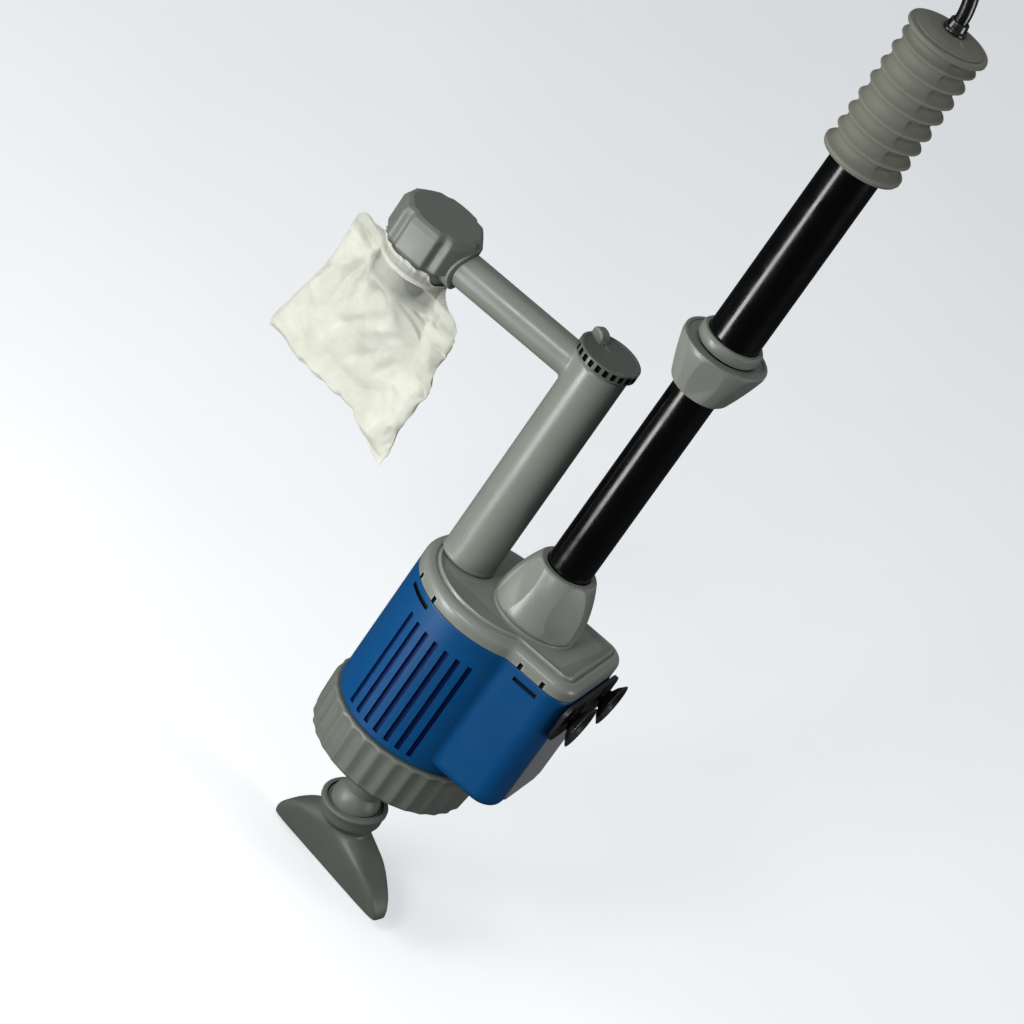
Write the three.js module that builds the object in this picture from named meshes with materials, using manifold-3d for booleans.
// Battery-free electric gravel vacuum siphon: a motor head hung on suction cups,
// a swivelling gravel nozzle under it, a telescopic handle pole above it and a
// discharge arm that carries a filter bag.
//
// Millimetres, +Z up along the pole. The model is laid out on the pump axis
// (X = 0, Y = 0) with Z = 0 on the seat of the pole nut. The whole group is then
// shifted so that the origin is the centre of the flat hanger pad between the two
// suction cups, with +X pointing at the tank wall.
import * as THREE from 'three';
import { mergeVertices } from 'three/addons/utils/BufferGeometryUtils.js';
import Module from 'manifold-3d';

const wasm = await Module();
wasm.setup();

// --------------------------------------------------------- shared dimensions
// Suffixes: _R radius, _X _Y _Z a place on that axis. Lengths have plain names.
const GAP = 0.3;                 // running clearance between separate pieces

const HEAD_R = 50.5;             // motor head, round part
const BUMP_Y = 39.5;             // half width of the electronics bump
const BUMP_X = 75;               // end face of the bump
const BUMP_CORNER_R = 14;
const HEAD_WALL = 2.6;
const SEAM_Z = -13.5;            // joint between lid and motor housing
const LATCH_DEPTH = 1.4;         // cut of the latch slits and the notches over them

const POLE_X = 23.3;             // axis of the pole
const LOWER_TUBE_R = 14;
const TUBE_EYE_R = LOWER_TUBE_R + GAP + 0.1;
const UPSTAND_R = 17.2;          // lid's upstand under the pole nut
const UPSTAND_TOP_Z = 21;

const RISER_X = -27.9;           // axis of the discharge riser and its flow duct
const DUCT_R = 11;
const DUCT_BORE_R = 9.2;
const DUCT_HOLE_R = DUCT_R + GAP + 0.2;
const DUCT_FOOT_Z = -103.1;

const ARM_Z = 137.8;             // axis of the discharge arm
const ARM_R = 11.15;
const ARM_BORE_R = 9.2;
const BAG_X = -150.5;            // axis of the filter bag's head

const CUP_Y = 21.5;
const CUP_Z = -26;
const PLATE_FACE_X = 79;         // face of the hanger plate's pad

// Seat of the end panel, and the hanger's tongue with its slot.
const PANEL_HALF_Y = 24;
const PANEL_FOOT_Z = -96.7;
const PANEL_TOP_Z = -22.3;
const PANEL_SEAT_DEPTH = 1.2;
const TONGUE_DEPTH = 7;
const TONGUE_HALF_Y = 12;
const TONGUE_FOOT_Z = -20;
const TONGUE_TOP_Z = -17;

// ------------------------------------------------------------------- helpers
const { clamp } = THREE.MathUtils;
const rad = (degrees) => (degrees * Math.PI) / 180;
const lerp = (from, to, t) => from + (to - from) * t;

// Linear look-up in [key, value] rows with rising keys, held at both ends.
function interp(table, key) {
  if (key <= table[0][0]) return table[0][1];
  for (let i = 1; i < table.length; i++) {
    if (key > table[i][0]) continue;
    const [key0, value0] = table[i - 1];
    const [key1, value1] = table[i];
    return lerp(value0, value1, (key - key0) / (key1 - key0));
  }
  return table[table.length - 1][1];
}

// Position-only, welded, without collapsed triangles and with faces turned outwards.
function closed(source) {
  let solid = source.clone();
  for (const name of Object.keys(solid.attributes)) {
    if (name !== 'position') solid.deleteAttribute(name);
  }
  solid = mergeVertices(solid, 1e-4);
  const welded = solid.index.array;
  const index = [];
  for (let i = 0; i < welded.length; i += 3) {
    const [a, b, c] = welded.slice(i, i + 3);
    if (a !== b && b !== c && a !== c) index.push(a, b, c);
  }
  const { position } = solid.attributes;
  const corner = (i) => new THREE.Vector3().fromBufferAttribute(position, index[i]);
  let volume = 0;
  for (let i = 0; i < index.length; i += 3) {
    volume += corner(i).dot(corner(i + 1).cross(corner(i + 2)));
  }
  if (volume < 0) {
    for (let i = 0; i < index.length; i += 3) {
      [index[i], index[i + 1]] = [index[i + 1], index[i]];
    }
  }
  solid.setIndex(index);
  return solid;
}

function toManifold(source) {
  const solid = closed(source);
  return new wasm.Manifold(new wasm.Mesh({
    numProp: 3,
    vertProperties: new Float32Array(solid.attributes.position.array),
    triVerts: new Uint32Array(solid.index.array),
  }));
}
function fromManifold(manifold) {
  const mesh = manifold.getMesh();
  const positions = new Float32Array(mesh.vertProperties);
  const geometry = new THREE.BufferGeometry();
  geometry.setAttribute('position', new THREE.BufferAttribute(positions, 3));
  geometry.setIndex(Array.from(mesh.triVerts));
  return geometry;
}
const join = (...parts) => fromManifold(parts.map(toManifold).reduce((a, b) => a.add(b)));
const cut = (base, ...tools) =>
  fromManifold(tools.map(toManifold).reduce((a, b) => a.subtract(b), toManifold(base)));
const keep = (a, b) => fromManifold(toManifold(a).intersect(toManifold(b)));

const move = (source, x, y, z) => source.clone().translate(x, y, z);
const alongX = (source) => source.clone().rotateY(Math.PI / 2);      // +Z goes to +X
const turnZ = (source, degrees) => source.clone().rotateZ(rad(degrees));

// Turned piece about +Z from [radius, z] pairs; warp(angle, radius, z) moves the radius.
function turned(profile, segments, warp = null) {
  const points = profile.map(([r, z]) => new THREE.Vector2(r, z));
  const lathe = new THREE.LatheGeometry(points, segments);
  lathe.rotateX(Math.PI / 2);
  if (warp) {
    const { position } = lathe.attributes;
    for (let i = 0; i < position.count; i++) {
      const x = position.getX(i);
      const y = position.getY(i);
      const radius = Math.hypot(x, y);
      if (radius < 1e-6) continue;
      const scale = warp(Math.atan2(y, x), radius, position.getZ(i)) / radius;
      position.setXY(i, x * scale, y * scale);
    }
  }
  return closed(lathe);
}
const tube = (boreR, outerR, z0, z1, segments) =>
  turned([[boreR, z0], [outerR, z0], [outerR, z1], [boreR, z1], [boreR, z0]], segments);
const rod = (radius, z0, z1, segments) =>
  turned([[0, z0], [radius, z0], [radius, z1], [0, z1]], segments);
// Ring of diamond section, centred on [radius, z].
const diamondRing = (radius, z, halfWidth, halfHeight, segments) => turned([
  [radius - halfWidth, z], [radius, z - halfHeight], [radius + halfWidth, z],
  [radius, z + halfHeight], [radius - halfWidth, z],
], segments);

const polygon = (points) => new THREE.Shape(points.map(([x, y]) => new THREE.Vector2(x, y)));
function circle(radius, segments) {
  const points = [];
  for (let i = 0; i < segments; i++) {
    const angle = (2 * Math.PI * i) / segments;
    points.push([radius * Math.cos(angle), radius * Math.sin(angle)]);
  }
  return polygon(points);
}
const extrude = (shape, options) =>
  new THREE.ExtrudeGeometry(shape, { bevelEnabled: false, ...options });
const prism = (points, z0, z1) =>
  closed(extrude(polygon(points), { depth: z1 - z0 }).translate(0, 0, z0));

function box(x0, x1, y0, y1, z0, z1) {
  const block = new THREE.BoxGeometry(x1 - x0, y1 - y0, z1 - z0);
  return closed(block.translate((x0 + x1) / 2, (y0 + y1) / 2, (z0 + z1) / 2));
}

// Upright plate with round corners, its thickness running along +X from x0.
function roundedPlate(x0, thickness, halfY, z0, z1, cornerR) {
  const side = halfY - cornerR;
  const low = z0 + cornerR;
  const high = z1 - cornerR;
  const face = new THREE.Shape();
  face.moveTo(-side, z0);
  face.lineTo(side, z0);
  face.absarc(side, low, cornerR, -Math.PI / 2, 0);
  face.lineTo(halfY, high);
  face.absarc(side, high, cornerR, 0, Math.PI / 2);
  face.lineTo(-side, z1);
  face.absarc(-side, high, cornerR, Math.PI / 2, Math.PI);
  face.lineTo(-halfY, low);
  face.absarc(-side, low, cornerR, Math.PI, 1.5 * Math.PI);
  const plate = extrude(face, { depth: thickness, curveSegments: 3 });
  plate.rotateX(Math.PI / 2);
  plate.rotateZ(Math.PI / 2);
  return closed(plate.translate(x0, 0, 0));
}

// Skin over one slice per level: section(angle, level) gives a slice point [x, y, z].
function loft(segments, levels, section) {
  const steps = levels.length - 1;
  const skin = extrude(circle(1, segments), { depth: 1, steps });
  const { position } = skin.attributes;
  for (let i = 0; i < position.count; i++) {
    const angle = Math.atan2(position.getY(i), position.getX(i));
    const level = levels[Math.round(position.getZ(i) * steps)];
    position.setXYZ(i, ...section(angle, level));
  }
  return closed(skin);
}
// Point of an oval; powers under 1 fill it out, powers over 1 pinch it.
function ovalPoint(angle, halfX, halfY, powerX, powerY) {
  const c = Math.cos(angle);
  const s = Math.sin(angle);
  return [
    halfX * Math.sign(c) * Math.abs(c) ** powerX,
    halfY * Math.sign(s) * Math.abs(s) ** powerY,
  ];
}

// Plan outline of the head: a circle joined to a round-cornered bump on +X,
// moved outwards by offset. Every offset has the same number of points.
function headOutline(offset) {
  const arcSegments = 26;
  const cornerSegments = 3;
  const radius = HEAD_R + offset;
  const halfY = BUMP_Y + offset;
  const cornerR = BUMP_CORNER_R + offset;
  const cornerX = BUMP_X + offset - cornerR;
  const startAngle = Math.asin(halfY / radius);
  const points = [];
  for (let i = 0; i <= arcSegments; i++) {
    const angle = startAngle + ((2 * Math.PI - 2 * startAngle) * i) / arcSegments;
    points.push([radius * Math.cos(angle), radius * Math.sin(angle)]);
  }
  for (const [from, cornerY] of [[-Math.PI / 2, -halfY + cornerR], [0, halfY - cornerR]]) {
    for (let i = 0; i <= cornerSegments; i++) {
      const angle = from + (Math.PI / 2) * (i / cornerSegments);
      points.push([cornerX + cornerR * Math.cos(angle), cornerY + cornerR * Math.sin(angle)]);
    }
  }
  return points;
}
// Head outline carried up through [offset, z] levels.
function headLoft(levels) {
  const base = headOutline(0);
  const steps = levels.length - 1;
  const skin = extrude(polygon(base), { depth: steps, steps });
  const outlines = levels.map(([offset]) => headOutline(offset));
  // The extrusion reorders its points, so each is found again by its place.
  const key = (x, y) => `${x.toFixed(3)},${y.toFixed(3)}`;
  const pointAt = new Map(base.map(([x, y], i) => [key(x, y), i]));
  const { position } = skin.attributes;
  for (let i = 0; i < position.count; i++) {
    const point = pointAt.get(key(position.getX(i), position.getY(i)));
    const level = Math.round(position.getZ(i));
    position.setXYZ(i, ...outlines[level][point], levels[level][1]);
  }
  return closed(skin);
}

// ------------------------------------------------------- materials and groups
const FINISHES = {
  grey: { rgb: [107, 112, 105], roughness: 0.5 },
  greyDark: { rgb: [84, 89, 83], roughness: 0.52 },
  blue: { rgb: [20, 78, 128], roughness: 0.38 },
  black: { rgb: [8, 8, 9], roughness: 0.12 },
  rubber: { rgb: [14, 14, 15], roughness: 0.6 },
  grip: { rgb: [98, 99, 92], roughness: 0.75 },
  panel: { rgb: [66, 65, 73], roughness: 0.6 },
  bag: { rgb: [208, 210, 198], roughness: 0.8 },
  steel: { rgb: [176, 178, 182], roughness: 0.3, metalness: 1 },
  iron: { rgb: [90, 92, 96], roughness: 0.5, metalness: 1 },
  copper: { rgb: [176, 104, 58], roughness: 0.35, metalness: 1 },
  magnet: { rgb: [48, 48, 52], roughness: 0.45, metalness: 1 },
  white: { rgb: [214, 214, 208], roughness: 0.4 },
  board: { rgb: [26, 84, 52], roughness: 0.5 },
};
function makeMaterial(finish) {
  const { rgb, roughness, metalness = 0 } = FINISHES[finish];
  const [red, green, blue] = rgb.map((channel) => channel / 255);
  const color = new THREE.Color().setRGB(red, green, blue, THREE.SRGBColorSpace);
  return new THREE.MeshStandardMaterial({ color, roughness, metalness });
}

function addGroup(parent, x = 0, y = 0, z = 0) {
  const child = new THREE.Group();
  child.position.set(x, y, z);
  parent.add(child);
  return child;
}
const root = new THREE.Group();
const siphon = addGroup(root, -PLATE_FACE_X, 0, -CUP_Z);
siphon.name = 'gravel_vacuum_siphon';

function add(name, geometry, finish, parent = siphon) {
  const mesh = new THREE.Mesh(geometry, makeMaterial(finish));
  mesh.name = name;
  parent.add(mesh);
}

// ------------------------------------------------------------- motor housing
const HOUSING_END_Z = -105;      // foot of the blue barrel
const BUMP_END_Z = -100.5;
const SPIGOT_END_Z = -127;       // foot of the spigot for the lock ring
const LOUVRE = {
  count: 7, first: -67.6, pitch: 9.2,      // degrees
  width: 3.4, depth: 1.5, footZ: -100.5, topZ: -29,
};

// Cutter through the skin of the bump's flank, on the +Y (side 1) or -Y (side -1) side.
function flankCut(side, x0, x1, reach, z0, z1) {
  const [y0, y1] = [side * (BUMP_Y - LATCH_DEPTH), side * (BUMP_Y + reach)].sort((a, b) => a - b);
  return box(x0, x1, y0, y1, z0, z1);
}

// Barrel, stepped spigot and the bump with its rounded foot, hollowed out.
function housingShell() {
  const spigotR = 45.8;
  const topZ = SEAM_Z - GAP;
  const barrel = turned([
    [0, SPIGOT_END_Z], [spigotR, SPIGOT_END_Z], [spigotR, HOUSING_END_Z],
    [49.3, HOUSING_END_Z], [HEAD_R, HOUSING_END_Z + 1.2], [HEAD_R, topZ], [0, topZ],
  ], 34);
  const bump = headLoft([
    [-6, BUMP_END_Z], [-1.8, BUMP_END_Z + 2], [0, BUMP_END_Z + 6.5], [0, topZ],
  ]);
  // Wet end below the floor, dry chamber above it, both open at their far end.
  const wetEnd = rod(43.4, -130, -103.2, 26);
  const dryChamber = join(
    rod(HEAD_R - HEAD_WALL - 0.4, -101.2, 0, 26),
    headLoft([[-HEAD_WALL - 2, BUMP_END_Z + 5.5], [-HEAD_WALL - 0.2, 0]]),
  );
  // The floor between them carries the rotor can and the flow duct.
  const canHole = rod(13.4, -104, -100, 18);
  const ductHole = move(rod(DUCT_HOLE_R, -104, -100, 16), RISER_X, 0, 0);
  return cut(join(barrel, bump), wetEnd, dryChamber, canHole, ductHole);
}

function louvreGrooves() {
  const { count, first, pitch, width, depth, footZ, topZ } = LOUVRE;
  const groove = box(HEAD_R - depth, HEAD_R + 3, -width / 2, width / 2, footZ, topZ);
  const grooves = [];
  for (let i = 0; i < count; i++) {
    for (const side of [1, -1]) grooves.push(turnZ(groove, side * (first - i * pitch)));
  }
  return grooves;
}

// One slit on the barrel and one on the bump's flank, on both sides.
function latchSlits() {
  const band = tube(HEAD_R - LATCH_DEPTH, HEAD_R + 3, -19.8, -17.6, 30);
  const reach = 80;
  const fan = [-140, -127.5, -115].map(
    (angle) => [reach * Math.cos(rad(angle)), reach * Math.sin(rad(angle))],
  );
  const slit = keep(band, prism([[0, 0], ...fan], -25, -10));
  const flankSlits = [1, -1].map((side) => flankCut(side, 41, 58, 3, -21.1, -18.9));
  return [slit, closed(slit.clone().scale(1, -1, 1)), ...flankSlits];
}

function motorHousing() {
  const seatHalfY = PANEL_HALF_Y + GAP;
  const panelSeat = box(
    BUMP_X - PANEL_SEAT_DEPTH, BUMP_X + 2, -seatHalfY, seatHalfY,
    PANEL_FOOT_Z - GAP, PANEL_TOP_Z + GAP,
  );
  const slotHalfY = TONGUE_HALF_Y + GAP;
  const tongueSlot = box(
    BUMP_X - TONGUE_DEPTH - 1, BUMP_X + 2, -slotHalfY, slotHalfY,
    TONGUE_FOOT_Z - GAP, TONGUE_TOP_Z + GAP,
  );
  return cut(housingShell(), ...louvreGrooves(), ...latchSlits(), panelSeat, tongueSlot);
}

const endPanel = () => roundedPlate(
  BUMP_X - PANEL_SEAT_DEPTH + GAP, 1.2, PANEL_HALF_Y, PANEL_FOOT_Z, PANEL_TOP_Z, 6,
);

add('motor_housing', motorHousing(), 'blue');
add('end_panel', endPanel(), 'panel');

// ----------------------------------------------------------------------- lid
const LID_SHOULDER = 7;          // how far the lid's shoulder leans in

// Release notches in the skirt's edge, at the ends of the latch slits.
function lidNotches() {
  const z0 = SEAM_Z - 1;
  const z1 = SEAM_Z + 4.5;
  const reach = 2;
  const halfWidth = 1;
  const notch = box(HEAD_R - LATCH_DEPTH, HEAD_R + reach, -halfWidth, halfWidth, z0, z1);
  const notches = [];
  for (const angle of [-137.4, -114.6]) {
    for (const side of [1, -1]) notches.push(turnZ(notch, side * angle));
  }
  for (const x of [40.4, 56.9]) {
    for (const side of [1, -1]) {
      notches.push(flankCut(side, x - halfWidth, x + halfWidth, reach, z0, z1));
    }
  }
  return notches;
}

// Skirt, shoulder, thin raised bead and flat top, with the pole's boss and upstand.
function lid() {
  const shoulder = -LID_SHOULDER;
  const shell = headLoft([
    [0, SEAM_Z], [0, -8], [-2, -4.9], [shoulder, -3],
    [shoulder - 0.4, -1.5], [shoulder - 1.4, -1.5], [shoulder - 1.8, -2.2],
  ]);
  const inside = headLoft([[-HEAD_WALL, SEAM_Z - 5], [-HEAD_WALL, -9.5], [shoulder - 1, -6]]);
  const boss = move(rod(27.4, -6, -GAP, 32), POLE_X, 0, 0);
  const upstand = move(rod(UPSTAND_R, -6, UPSTAND_TOP_Z, 24), POLE_X, 0, 0);
  const tubeSocket = move(rod(TUBE_EYE_R, -4, 40, 24), POLE_X, 0, 0);
  const cordHole = move(rod(4, -20, 0, 12), POLE_X, 0, 0);
  const ductHole = move(rod(DUCT_HOLE_R, -20, 10, 18), RISER_X, 0, 0);
  const body = cut(join(cut(shell, inside), boss, upstand), tubeSocket, cordHole, ductHole);
  return cut(body, ...lidNotches());
}

function lidGasket() {
  const outer = -HEAD_WALL - 1;
  const inner = -HEAD_WALL - 2.8;
  return cut(headLoft([[outer, -16.2], [outer, -10.9]]), headLoft([[inner, -20], [inner, -5]]));
}

add('lid', lid(), 'grey');
add('lid_gasket', lidGasket(), 'rubber');

// ------------------------------------------------- lock ring and intake cover
const RING_R = 53.5;
const RING_END_Z = -137.5;
const RING_FLUTES = 24;
const RING_FLUTE_DEPTH = 1.1;
// [z, share of the full flute depth]
const RING_FLUTE_FADE = [
  [RING_END_Z, 0.2], [RING_END_Z + 5, 1], [-110, 1], [-108, 0.8], [-105, 0.1],
];
const BALL_Z = -176;             // centre of the nozzle's ball joint
const BALL_R = 15;
const BALL_BORE_R = 8.5;

// Fluted ring with an inner lip that traps the intake cover.
function lockRing() {
  const flute = (angle, radius, z) => {
    if (radius < 48) return radius;
    const wave = 0.5 - 0.5 * Math.cos(RING_FLUTES * angle);
    return radius - RING_FLUTE_DEPTH * wave * interp(RING_FLUTE_FADE, z);
  };
  return turned([
    [46.5, -133.6], [46.5, -105.6], [52.4, -105.6], [RING_R, -108],
    [RING_R - 0.6, -131], [RING_R - 2.6, -135.6], [RING_R - 5.5, RING_END_Z],
    [40, RING_END_Z], [40, -133.6], [46.5, -133.6],
  ], 48, flute);
}

const intakeCover = () => turned([
  [12.2, -151.5], [16, -151.5], [39.5, -137.2], [39.5, -133.2], [44.6, -133.2],
  [44.6, -129.5], [36.5, -129.5], [36.5, -132.8], [12.2, -147.2], [12.2, -151.5],
], 24);

// Flanged stem that ends in the ball.
function ballStem() {
  const flangeTopZ = -142.4;
  const ballPoints = [20, 0, -22, -45].map(
    (angle) => [BALL_R * Math.cos(rad(angle)), BALL_Z + BALL_R * Math.sin(rad(angle))],
  );
  return turned([
    [BALL_BORE_R, flangeTopZ], [15.4, flangeTopZ], [15.4, -144.4], [11.5, -144.4],
    [11.5, BALL_Z + 9.63], ...ballPoints, [BALL_BORE_R, BALL_Z - 10.9],
    [BALL_BORE_R, flangeTopZ],
  ], 24);
}

add('lock_ring', lockRing(), 'greyDark');
add('chamber_seal', diamondRing(44.6, -128.25, 0.9, 0.9, 24), 'rubber');
add('intake_cover', intakeCover(), 'greyDark');
add('ball_stem', ballStem(), 'greyDark');

// ------------------------------------------------------------- gravel nozzle
// Laid out about the ball's centre, then tipped and spun.
const NOZZLE_TILT = 12;          // degrees, rest pose of the ball joint
const NOZZLE_TILT_AXIS = new THREE.Vector3(0.668, -0.744, 0).normalize();
const NOZZLE_SPIN = -20;         // degrees about the nozzle's own axis
const NOZZLE_LENGTH = 51;        // ball centre to mouth
// [depth below the ball's centre, half width] and [depth, half thickness]
const NOZZLE_HALF_WIDTHS = [
  [-0.8, 20], [1.5, 20.6], [6, 20.2], [11, 17.6], [15.5, 15],
  [22, 22.5], [31, 35], [42, 47.2], [48, 50.6], [NOZZLE_LENGTH, 51],
];
const NOZZLE_HALF_THICKNESSES = [
  [-0.8, 20], [1.5, 20.6], [6, 20.2], [11, 17.4], [15.5, 13.6],
  [22, 12.4], [31, 10.6], [42, 8], [NOZZLE_LENGTH, 6],
];

// From a circle at the neck to a flat-faced slot with round ends.
function nozzleSection(angle, depth, halfWidth, halfThickness) {
  const flat = clamp((depth - 15) / 12, 0, 1);
  const powers = [lerp(1, 0.9, flat), lerp(1, 0.62, flat)];
  return [...ovalPoint(angle, halfWidth, halfThickness, ...powers), -depth];
}

function nozzle() {
  const widthAt = (depth) => interp(NOZZLE_HALF_WIDTHS, depth);
  const thicknessAt = (depth) => interp(NOZZLE_HALF_THICKNESSES, depth);
  const outerDepths = NOZZLE_HALF_WIDTHS.map(([depth]) => depth);
  const outer = loft(28, outerDepths, (angle, depth) =>
    nozzleSection(angle, depth, widthAt(depth), thicknessAt(depth)));
  const throatR = 10.5;
  const inner = loft(20, [10, 16, 22, 31, 42, NOZZLE_LENGTH + 1], (angle, depth) => {
    if (depth < 18) return nozzleSection(angle, depth, throatR, throatR);
    return nozzleSection(angle, depth, widthAt(depth) - 2.4, thicknessAt(depth) - 2.1);
  });
  const cup = turned([[0, -8.6], [17.3, -8.6], [17.3, 3], [0, 3]], 28);
  const seat = turned([[0, -16], [9, -16], [14.2, -8.4], [14.2, -8], [0, -8]], 20);
  return cut(outer, cup, seat, inner);
}

// Ring under the ball's equator, hollowed to its sphere.
function nozzleSeatRing() {
  const outerR = 17;
  const footZ = -8;
  const topZ = -0.2;
  const onSphere = (z) => [Math.sqrt((BALL_R + GAP + 0.1) ** 2 - z * z), z];
  return turned([
    onSphere(footZ), [outerR, footZ], [outerR, topZ], onSphere(topZ), onSphere(-4),
    onSphere(footZ),
  ], 24);
}

const nozzleHead = addGroup(siphon, 0, 0, BALL_Z);
nozzleHead.quaternion.setFromAxisAngle(NOZZLE_TILT_AXIS, rad(NOZZLE_TILT));
const nozzleSpun = addGroup(nozzleHead);
nozzleSpun.rotation.z = rad(NOZZLE_SPIN);
add('nozzle_seat_ring', nozzleSeatRing(), 'greyDark', nozzleHead);
add('nozzle', nozzle(), 'greyDark', nozzleSpun);

// ------------------------------------------------------------ pump and motor
const PUMP_PLATE_TOP_Z = -103.5;
const CORE_FOOT_Z = -89;         // stator core
const CORE_TOP_Z = -62;

const pumpPlate = () => cut(
  rod(42.8, -107.2, PUMP_PLATE_TOP_Z, 26),
  move(rod(DUCT_BORE_R, -110, -100, 16), RISER_X, 0, 0),
  rod(5.4, -110, -100, 12),
);

// Flanged can, closed at the top, between rotor and stator.
const rotorCan = () => turned([
  [7.3, -103.1], [12.9, -103.1], [12.9, -101.4], [8.5, -101.4], [8.5, -45.5],
  [0, -45.5], [0, -47.2], [7.3, -47.2], [7.3, -103.1],
], 16);

// Coil on one end of the core, chamfered at its far end; side is 1 above, -1 below.
function statorCoil(coreEndZ, side) {
  const boreR = 9.2;
  const outerR = 15.6;
  const nearZ = coreEndZ + side * 0.4;
  const farZ = coreEndZ + side * 8;
  return turned([
    [boreR, nearZ], [outerR, nearZ], [outerR, farZ - side * 2], [outerR - 1.4, farZ],
    [boreR, farZ], [boreR, nearZ],
  ], 16);
}

// Disc and hub with six open vanes below the disc.
function impeller() {
  const topZ = -110.4;
  const footZ = -121.5;
  const vaneCount = 6;
  const vane = move(turnZ(box(0, 22, -0.9, 0.9, footZ, -111.6), 25), 5.2, 0, 0);
  const vanes = [];
  for (let i = 0; i < vaneCount; i++) vanes.push(turnZ(vane, (i * 360) / vaneCount));
  const body = join(rod(27.5, -112.6, topZ, 28), rod(6.4, footZ, topZ, 16), ...vanes);
  return cut(body, rod(1.9, -125, -105, 8));
}

// Board standing across the bump, with three blocks on its +X face.
const circuitBoard = () => join(
  box(52, 53.6, -32, 32, -90, -30),
  box(53.4, 61, -22, -8, -80, -62),
  box(53.4, 59, 4, 24, -60, -44),
  box(53.4, 57, -20, -6, -50, -38),
);

add('pump_plate', pumpPlate(), 'greyDark');
add('lower_bearing', tube(2, 5, -107, PUMP_PLATE_TOP_Z, 12), 'white');
add('rotor_shaft', rod(1.6, -125, -48.5, 8), 'steel');
add('rotor_magnet', tube(2, 6.8, -96, -56, 14), 'magnet');
add('upper_bearing', tube(2, 6.9, -54, -50, 12), 'white');
add('rotor_can', rotorCan(), 'white');
add('stator_core', tube(8.9, 16, CORE_FOOT_Z, CORE_TOP_Z, 16), 'iron');
add('stator_coil_lower', statorCoil(CORE_FOOT_Z, -1), 'copper');
add('stator_coil_upper', statorCoil(CORE_TOP_Z, 1), 'copper');
add('impeller', impeller(), 'white');
add('impeller_nut', cut(rod(3.6, -124.4, -121.8, 6), rod(1.9, -130, -115, 12)), 'steel');
const flowDuct = tube(DUCT_BORE_R, DUCT_R, DUCT_FOOT_Z, 7.5, 16);
add('flow_duct', move(flowDuct, RISER_X, 0, 0), 'greyDark');
add('circuit_board', circuitBoard(), 'board');

// --------------------------------------------------------------- tank hanger
const PAD_THICKNESS = 0.6;       // raised pad between the cups
const PAD_HALF_Y = 11.5;
const PAD_HALF_Z = 9;
const CUP_R = 14;
// Barb, stem and a thin bell whose rim faces +X: [radius, height over the pad face]
const CUP_PROFILE = [
  [0, -3.3], [3, -3.3], [3, 0.9], [5.8, 0.9], [10.2, 3.6],
  [CUP_R, 7.5], [CUP_R - 1.8, 7.5], [8.6, 4.6], [0, 3],
];

function cupBracket() {
  const backX = BUMP_X + 0.6;
  const plateFrontX = PLATE_FACE_X - PAD_THICKNESS;
  const plate = roundedPlate(backX, plateFrontX - backX, 36, -40, -14.4, 7);
  const tongue = box(
    BUMP_X - TONGUE_DEPTH, BUMP_X + 2, -TONGUE_HALF_Y, TONGUE_HALF_Y,
    TONGUE_FOOT_Z, TONGUE_TOP_Z,
  );
  const pad = box(
    plateFrontX - 1, PLATE_FACE_X, -PAD_HALF_Y, PAD_HALF_Y,
    CUP_Z - PAD_HALF_Z, CUP_Z + PAD_HALF_Z,
  );
  const hole = alongX(rod(3.5, -10, 20, 14));
  const holes = [CUP_Y, -CUP_Y].map((y) => move(hole, BUMP_X, y, CUP_Z));
  return cut(join(plate, tongue, pad), ...holes);
}

add('cup_bracket', cupBracket(), 'rubber');
for (const [name, y] of [['suction_cup_left', CUP_Y], ['suction_cup_right', -CUP_Y]]) {
  add(name, move(alongX(turned(CUP_PROFILE, 18)), PLATE_FACE_X, y, CUP_Z), 'rubber');
}

// ---------------------------------------------------------------------- pole
const LOWER_TUBE_WALL = 1.6;
const UPPER_TUBE_R = 16;
const UPPER_TUBE_WALL = 1.6;
const COLLET_BORE_R = LOWER_TUBE_R + GAP;
const COLLET_R = 17.2;
const SLEEVE_BORE_R = UPPER_TUBE_R + GAP;
const NUT_BORE_R = 17.6;         // both nuts
const NUT_FLATS = 10;
const NUT_FOOT_Z = 0.1;
const LOCK_FOOT_Z = 175;
const LOCK_TOP_Z = 204.7;
const GRIP_FOOT_Z = 341;
const GRIP_TOP_Z = 427.3;
const GRIP_RIBS = [354, 364.5, 374.5, 386, 396.2, 407, 417.2];   // z of each rib
const CORD_R = 4.2;              // jacket of the supply cord
// Rise out of the gland, then an arch towards -X: [x, y, z] from the pole's axis
const CORD_PATH = [
  [0, 0, 400], [0, 0, 420], [0, 0, 434], [-0.9, 0, 445],
  [-5, 0, 457], [-15, 0, 468.5], [-31, 0, 472], [-48, 0, 467],
];
const PLUG_DIRECTION = new THREE.Vector3(-17, 0, -6.6).normalize();

// Oval finger flats round a nut, deepest midway between z0 and z1.
const fingerFlats = (z0, z1, depth) => (angle, radius, z) => {
  if (radius < 18) return radius;
  const middle = Math.sin(Math.PI * clamp((z - z0) / (z1 - z0), 0, 1));
  const wave = Math.abs(Math.cos((NUT_FLATS * angle) / 2));
  return radius - depth * middle * Math.max(0, (wave - 0.25) / 0.75);
};

const poleBaseNut = () => turned([
  [NUT_BORE_R, NUT_FOOT_Z], [28.25, NUT_FOOT_Z], [28.25, 2.6], [25.6, 12], [22.2, 24],
  [18.6, 35.2], [17.5, 36], [TUBE_EYE_R, 36], [TUBE_EYE_R, 33.5], [NUT_BORE_R, 31],
  [NUT_BORE_R, NUT_FOOT_Z],
], 40, fingerFlats(2.6, 34, 1.5));

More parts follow.
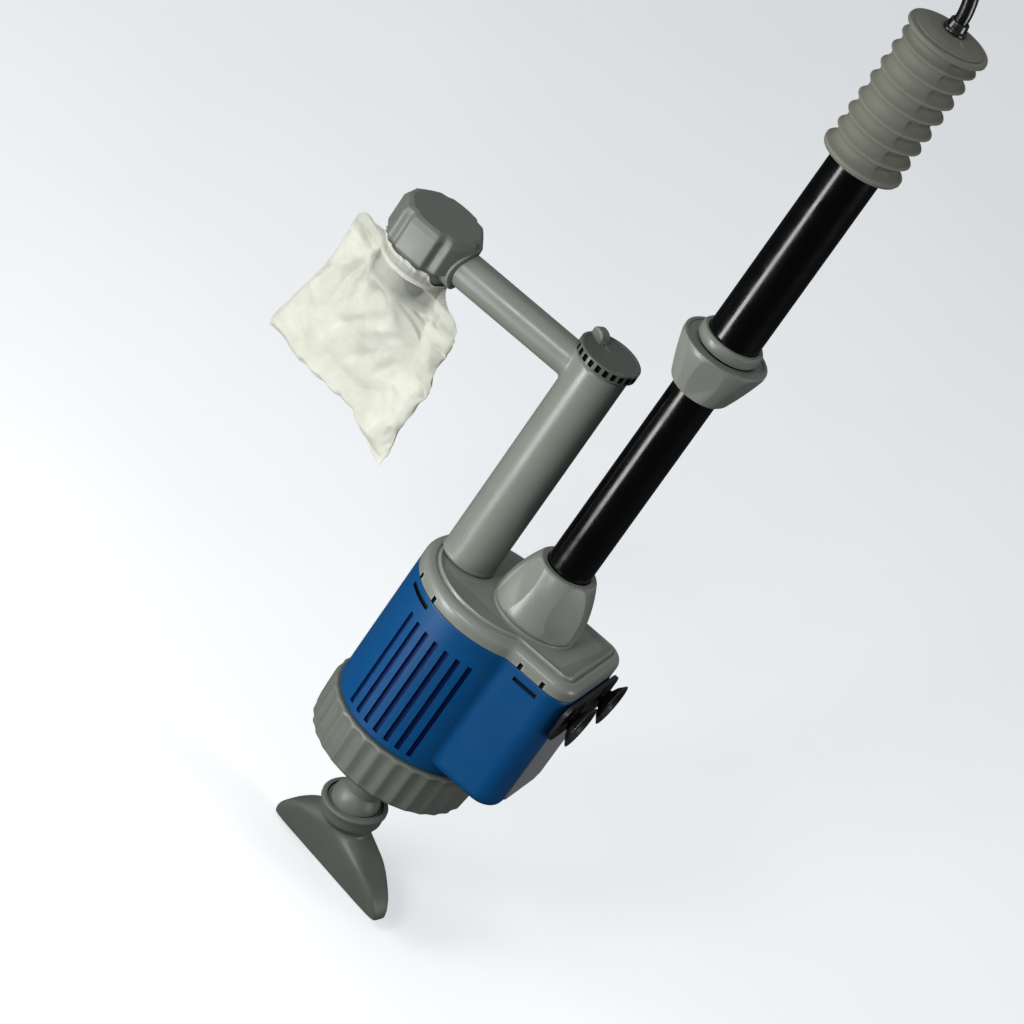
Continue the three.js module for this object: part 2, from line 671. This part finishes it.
const poleCollet = () => turned([
  [COLLET_BORE_R, 21.4], [COLLET_R, 21.4], [COLLET_R, 30.6], [LOWER_TUBE_R + 1, 32.4],
  [COLLET_BORE_R, 32.4], [COLLET_BORE_R, 21.4],
], 20);

const lockNut = () => turned([
  [NUT_BORE_R, 177.6], [TUBE_EYE_R, 176.4], [TUBE_EYE_R, LOCK_FOOT_Z],
  [17.3, LOCK_FOOT_Z], [18.5, 176], [20.8, 184], [23.6, 192], [26.8, 201.6],
  [26.8, LOCK_TOP_Z - 0.6], [26, LOCK_TOP_Z], [NUT_BORE_R, LOCK_TOP_Z],
  [NUT_BORE_R, 177.6],
], 40, fingerFlats(177, 202, 1.4));

const lockCollet = () => turned([
  [COLLET_BORE_R, 177.4], [LOWER_TUBE_R + 1.6, 177.4], [COLLET_R, 178.6],
  [COLLET_R, 183.6], [COLLET_BORE_R, 183.6], [COLLET_BORE_R, 177.4],
], 20);

const collarRing = () => turned([
  [SLEEVE_BORE_R, 205.1], [18.2, 205.1], [18.2, 206.6], [19.5, 206.6],
  [19.5, 212.2], [18.7, 213], [SLEEVE_BORE_R, 213], [SLEEVE_BORE_R, 205.1],
], 28);

// Ribbed sleeve with a plain band at its foot and a wider one at its top.
function grip() {
  const valleyR = 20.3;
  const ribR = 23.1;
  const ribs = GRIP_RIBS.flatMap((z) => [[valleyR, z - 4], [ribR, z - 0.5], [ribR - 0.3, z + 0.4]]);
  return turned([
    [SLEEVE_BORE_R, GRIP_FOOT_Z], [23.4, GRIP_FOOT_Z], [24, GRIP_FOOT_Z + 0.8],
    [24, GRIP_FOOT_Z + 5], ...ribs, [valleyR + 0.2, 420.4], [24.85, 422.4],
    [24.85, 425.8], [23, GRIP_TOP_Z], [SLEEVE_BORE_R, GRIP_TOP_Z],
    [SLEEVE_BORE_R, GRIP_FOOT_Z],
  ], 22);
}

function endCap() {
  const boreR = CORD_R + 0.4;
  return turned([
    [boreR, 412], [13.9, 412], [13.9, 427.6], [21.4, 427.6], [20.6, 429],
    [11, 431.4], [boreR, 431.6], [boreR, 412],
  ], 24);
}

function cordGland() {
  const boreR = CORD_R + 0.5;
  return turned([
    [boreR, 431.9], [7.2, 431.9], [7.2, 433.2], [6.2, 434.2], [5.6, 438.4],
    [boreR, 438.4], [boreR, 431.9],
  ], 16);
}

function powerCord() {
  const points = CORD_PATH.map((point) => new THREE.Vector3(...point));
  const extrudePath = new THREE.CatmullRomCurve3(points);
  return closed(extrude(circle(CORD_R, 8), { steps: 22, extrudePath }));
}

// Low-voltage inline connector, pointing along its own +Z.
const powerPlug = () => turned([
  [0, 0.4], [5.4, 0.4], [6.4, 3], [6.4, 17], [7.6, 18], [7.6, 24], [2.7, 24],
  [2.7, 33], [0, 33],
], 14);

const pole = addGroup(siphon, POLE_X);
add('pole_base_nut', poleBaseNut(), 'grey', pole);
add('pole_collet', poleCollet(), 'white', pole);
const lowerTube = tube(LOWER_TUBE_R - LOWER_TUBE_WALL, LOWER_TUBE_R, -3.6, 322, 28);
add('lower_tube', lowerTube, 'black', pole);
add('lock_nut', lockNut(), 'grey', pole);
add('lock_collet', lockCollet(), 'white', pole);
add('collar_ring', collarRing(), 'grey', pole);
const upperTube = tube(UPPER_TUBE_R - UPPER_TUBE_WALL, UPPER_TUBE_R, 184, GRIP_TOP_Z, 28);
add('upper_tube', upperTube, 'black', pole);
add('grip', grip(), 'grip', pole);
add('end_cap', endCap(), 'grip', pole);
add('cord_gland', cordGland(), 'rubber', pole);
add('power_cord', powerCord(), 'rubber', pole);
const plug = addGroup(pole, ...CORD_PATH[CORD_PATH.length - 1]);
plug.quaternion.setFromUnitVectors(new THREE.Vector3(0, 0, 1), PLUG_DIRECTION);
add('power_plug', powerPlug(), 'rubber', plug);
add('inner_cord', rod(2.6, -45, 308, 8), 'rubber', pole);

// -------------------------------------------------- discharge riser and arm
const RISER_R = 17;
const RISER_BORE_R = 13;
const RISER_TOP_Z = 149;
const VALVE_STEM_R = 3.6;
const KNOB_R = 20.5;
const KNOB_RIM_R = 18.8;         // edge of the knob's flat faces
const KNOB_FOOT_Z = 149.5;
const KNOB_TOP_Z = 156.6;

// Riser with a soft shoulder and a small foot flare, and the arm towards -X.
function dischargePipe() {
  const armEnd = BAG_X - RISER_X + 17.5;         // from the riser's axis
  const outer = turned([
    [0, -1.2], [RISER_R + 0.8, -1.2], [RISER_R + 0.6, 0.4], [RISER_R, 1.6],
    [RISER_R, 147], [RISER_R - 1.4, RISER_TOP_Z], [0, RISER_TOP_Z],
  ], 32);
  const arm = move(alongX(rod(ARM_R, armEnd, 0, 24)), 0, 0, ARM_Z);
  const riserBore = rod(RISER_BORE_R, -5, 145.6, 24);
  const stemHole = rod(4, 140, 155, 12);
  const armBore = move(alongX(rod(ARM_BORE_R, armEnd - 2, 0, 18)), 0, 0, ARM_Z);
  return cut(join(outer, arm), riserBore, stemHole, armBore);
}

// Drum, open below, with a port towards the arm and a stem up to the knob.
function valveCore() {
  const drum = rod(RISER_BORE_R - GAP - 0.15, 124, 145.2, 24);
  const stem = rod(VALVE_STEM_R, 144, 154.5, 10);
  const bore = rod(RISER_BORE_R - 2.2, 120, 143.4, 18);
  const port = move(alongX(rod(ARM_BORE_R, -20, 0, 16)), 0, 0, ARM_Z - 1.4);
  return cut(join(drum, stem), bore, port);
}

// Raised lug on the knob's top, off its axis.
function knobLug() {
  const width = 7;
  const footZ = KNOB_TOP_Z - 0.5;
  const side = new THREE.Shape();
  side.moveTo(-18.5, footZ);
  side.lineTo(-7.5, footZ);
  side.lineTo(-8.5, KNOB_TOP_Z + 2.2);
  side.quadraticCurveTo(-12, KNOB_TOP_Z + 5.8, -17, KNOB_TOP_Z + 5.4);
  side.quadraticCurveTo(-18.6, KNOB_TOP_Z + 5, -18.5, footZ);
  const lug = extrude(side, { depth: width, curveSegments: 6 });
  lug.translate(0, 0, -width / 2);
  lug.rotateX(Math.PI / 2);
  return turnZ(closed(lug), -25);
}

function flowKnob() {
  const knurl = (angle, radius) =>
    (radius > 19 ? radius - 1.1 * (0.5 - 0.5 * Math.cos(18 * angle)) : radius);
  const disc = turned([
    [0, KNOB_FOOT_Z], [KNOB_RIM_R, KNOB_FOOT_Z], [KNOB_R, KNOB_FOOT_Z + 1.4],
    [KNOB_R, KNOB_TOP_Z - 1.2], [KNOB_RIM_R, KNOB_TOP_Z], [0, KNOB_TOP_Z],
  ], 36, knurl);
  return cut(join(disc, knobLug()), rod(VALVE_STEM_R + GAP, KNOB_FOOT_Z - 2, 154.9, 12));
}

const riser = addGroup(siphon, RISER_X);
add('discharge_pipe', dischargePipe(), 'grey', riser);
add('riser_seal', diamondRing(DUCT_R + GAP + 0.65, 4, 0.65, 0.7, 20), 'rubber', riser);
add('valve_core', valveCore(), 'white', riser);
add('flow_knob', flowKnob(), 'grey', riser);

// ---------------------------------------------------------------- filter bag
const BAG_HEAD_R = 27.2;
const BAG_HEAD_FOOT_Z = 131;
const BAG_HEAD_TOP_Z = 156.7;
const SPIGOT_R = 21;
const BAG_YAW = -20;             // degrees about +Z
const BAG_HALF_WIDTH = 57;
const BAG_FOOT_Z = 20;
const LOBE_PITCH = 60;           // degrees
const LOBE_FLUTE_HALF = 9;       // degrees
const LOBE_FLUTE_DEPTH = 2.9;
// [z, share of the full flute depth]
const LOBE_FLUTE_FADE = [
  [BAG_HEAD_FOOT_Z, 0.5], [BAG_HEAD_FOOT_Z + 3, 1], [BAG_HEAD_TOP_Z - 4, 1],
  [BAG_HEAD_TOP_Z, 0.4],
];
const POUCH_LEVELS = [124.6, 120.6, 117.5, 113, 107, 96, 66, 30, BAG_FOOT_Z];
// [z, half width] and [z, half thickness]
const POUCH_HALF_WIDTHS = [
  [BAG_FOOT_Z, BAG_HALF_WIDTH - 3], [30, BAG_HALF_WIDTH], [66, BAG_HALF_WIDTH - 1.5],
  [96, BAG_HALF_WIDTH - 3], [107, BAG_HALF_WIDTH - 6], [113, 40], [117.5, 26.2],
  [121, 23.4], [124.6, 24.2],
];
const POUCH_HALF_THICKNESSES = [
  [BAG_FOOT_Z, 1.6], [30, 6.5], [66, 14], [96, 20.5], [107, 23.2], [113, 24.2],
  [117.5, 24], [121, 23.4], [124.6, 24.2],
];

// Cap with six broad lobes parted by narrow flutes; one flute faces the arm.
function bagCap() {
  const lobes = (angle, radius, z) => {
    if (radius < 22) return radius;
    const turn = (((angle * 180) / Math.PI) % LOBE_PITCH + LOBE_PITCH) % LOBE_PITCH;
    const distance = Math.min(turn, LOBE_PITCH - turn);
    const flute = Math.max(0, 1 - (distance / LOBE_FLUTE_HALF) ** 2);
    return radius - LOBE_FLUTE_DEPTH * flute * interp(LOBE_FLUTE_FADE, z);
  };
  return turned([
    [0, BAG_HEAD_FOOT_Z], [24.6, BAG_HEAD_FOOT_Z], [BAG_HEAD_R, BAG_HEAD_FOOT_Z + 3],
    [BAG_HEAD_R, BAG_HEAD_TOP_Z - 5], [BAG_HEAD_R - 2, BAG_HEAD_TOP_Z - 1.6],
    [BAG_HEAD_R - 5.5, BAG_HEAD_TOP_Z], [0, BAG_HEAD_TOP_Z],
  ], 36, lobes);
}

function bagHead() {
  const neckR = SPIGOT_R - 0.9;
  const spigot = turned([
    [0, 106], [SPIGOT_R, 106], [SPIGOT_R, 118.4], [neckR, 119], [neckR, 123.4],
    [SPIGOT_R, 124], [SPIGOT_R, 133], [0, 133],
  ], 24);
  const onArm = (part) => move(alongX(part), 0, 0, ARM_Z);
  const sleeve = keep(onArm(rod(14.3, 14, 26.6, 24)), rod(27, 125.1, 170, 32));
  const bore = rod(SPIGOT_R - 3, 100, 152.4, 18);
  const armSocket = onArm(rod(ARM_R + GAP + 0.1, 10, 40, 24));
  const sealGroove = onArm(rod(12.9, 20, 22.6, 20));
  return cut(join(bagCap(), spigot, sleeve), bore, armSocket, sealGroove);
}

// Pouch: round neck over the spigot, then a flat square bag.
function filterBag() {
  const pouch = loft(26, POUCH_LEVELS, (angle, z) => {
    const flat = clamp((118 - z) / 18, 0, 1);
    const halves = [interp(POUCH_HALF_WIDTHS, z), interp(POUCH_HALF_THICKNESSES, z)];
    return [...ovalPoint(angle, ...halves, lerp(1, 0.85, flat), lerp(1, 1.15, flat)), z];
  });
  return cut(pouch, rod(SPIGOT_R + GAP + 0.2, 103, 140, 26));
}

const bag = addGroup(siphon, BAG_X);
add('bag_head', bagHead(), 'grey', bag);
const headSeal = alongX(tube(ARM_R + GAP + 0.05, 12.5, 20.3, 22.3, 20));
add('head_seal', move(headSeal, 0, 0, ARM_Z), 'rubber', bag);
const yawedBag = addGroup(bag);
yawedBag.rotation.z = rad(BAG_YAW);
add('filter_bag', filterBag(), 'bag', yawedBag);
add('bag_clamp_ring', diamondRing(26, 121.2, 1.1, 1.3, 26), 'white', bag);

export default root;
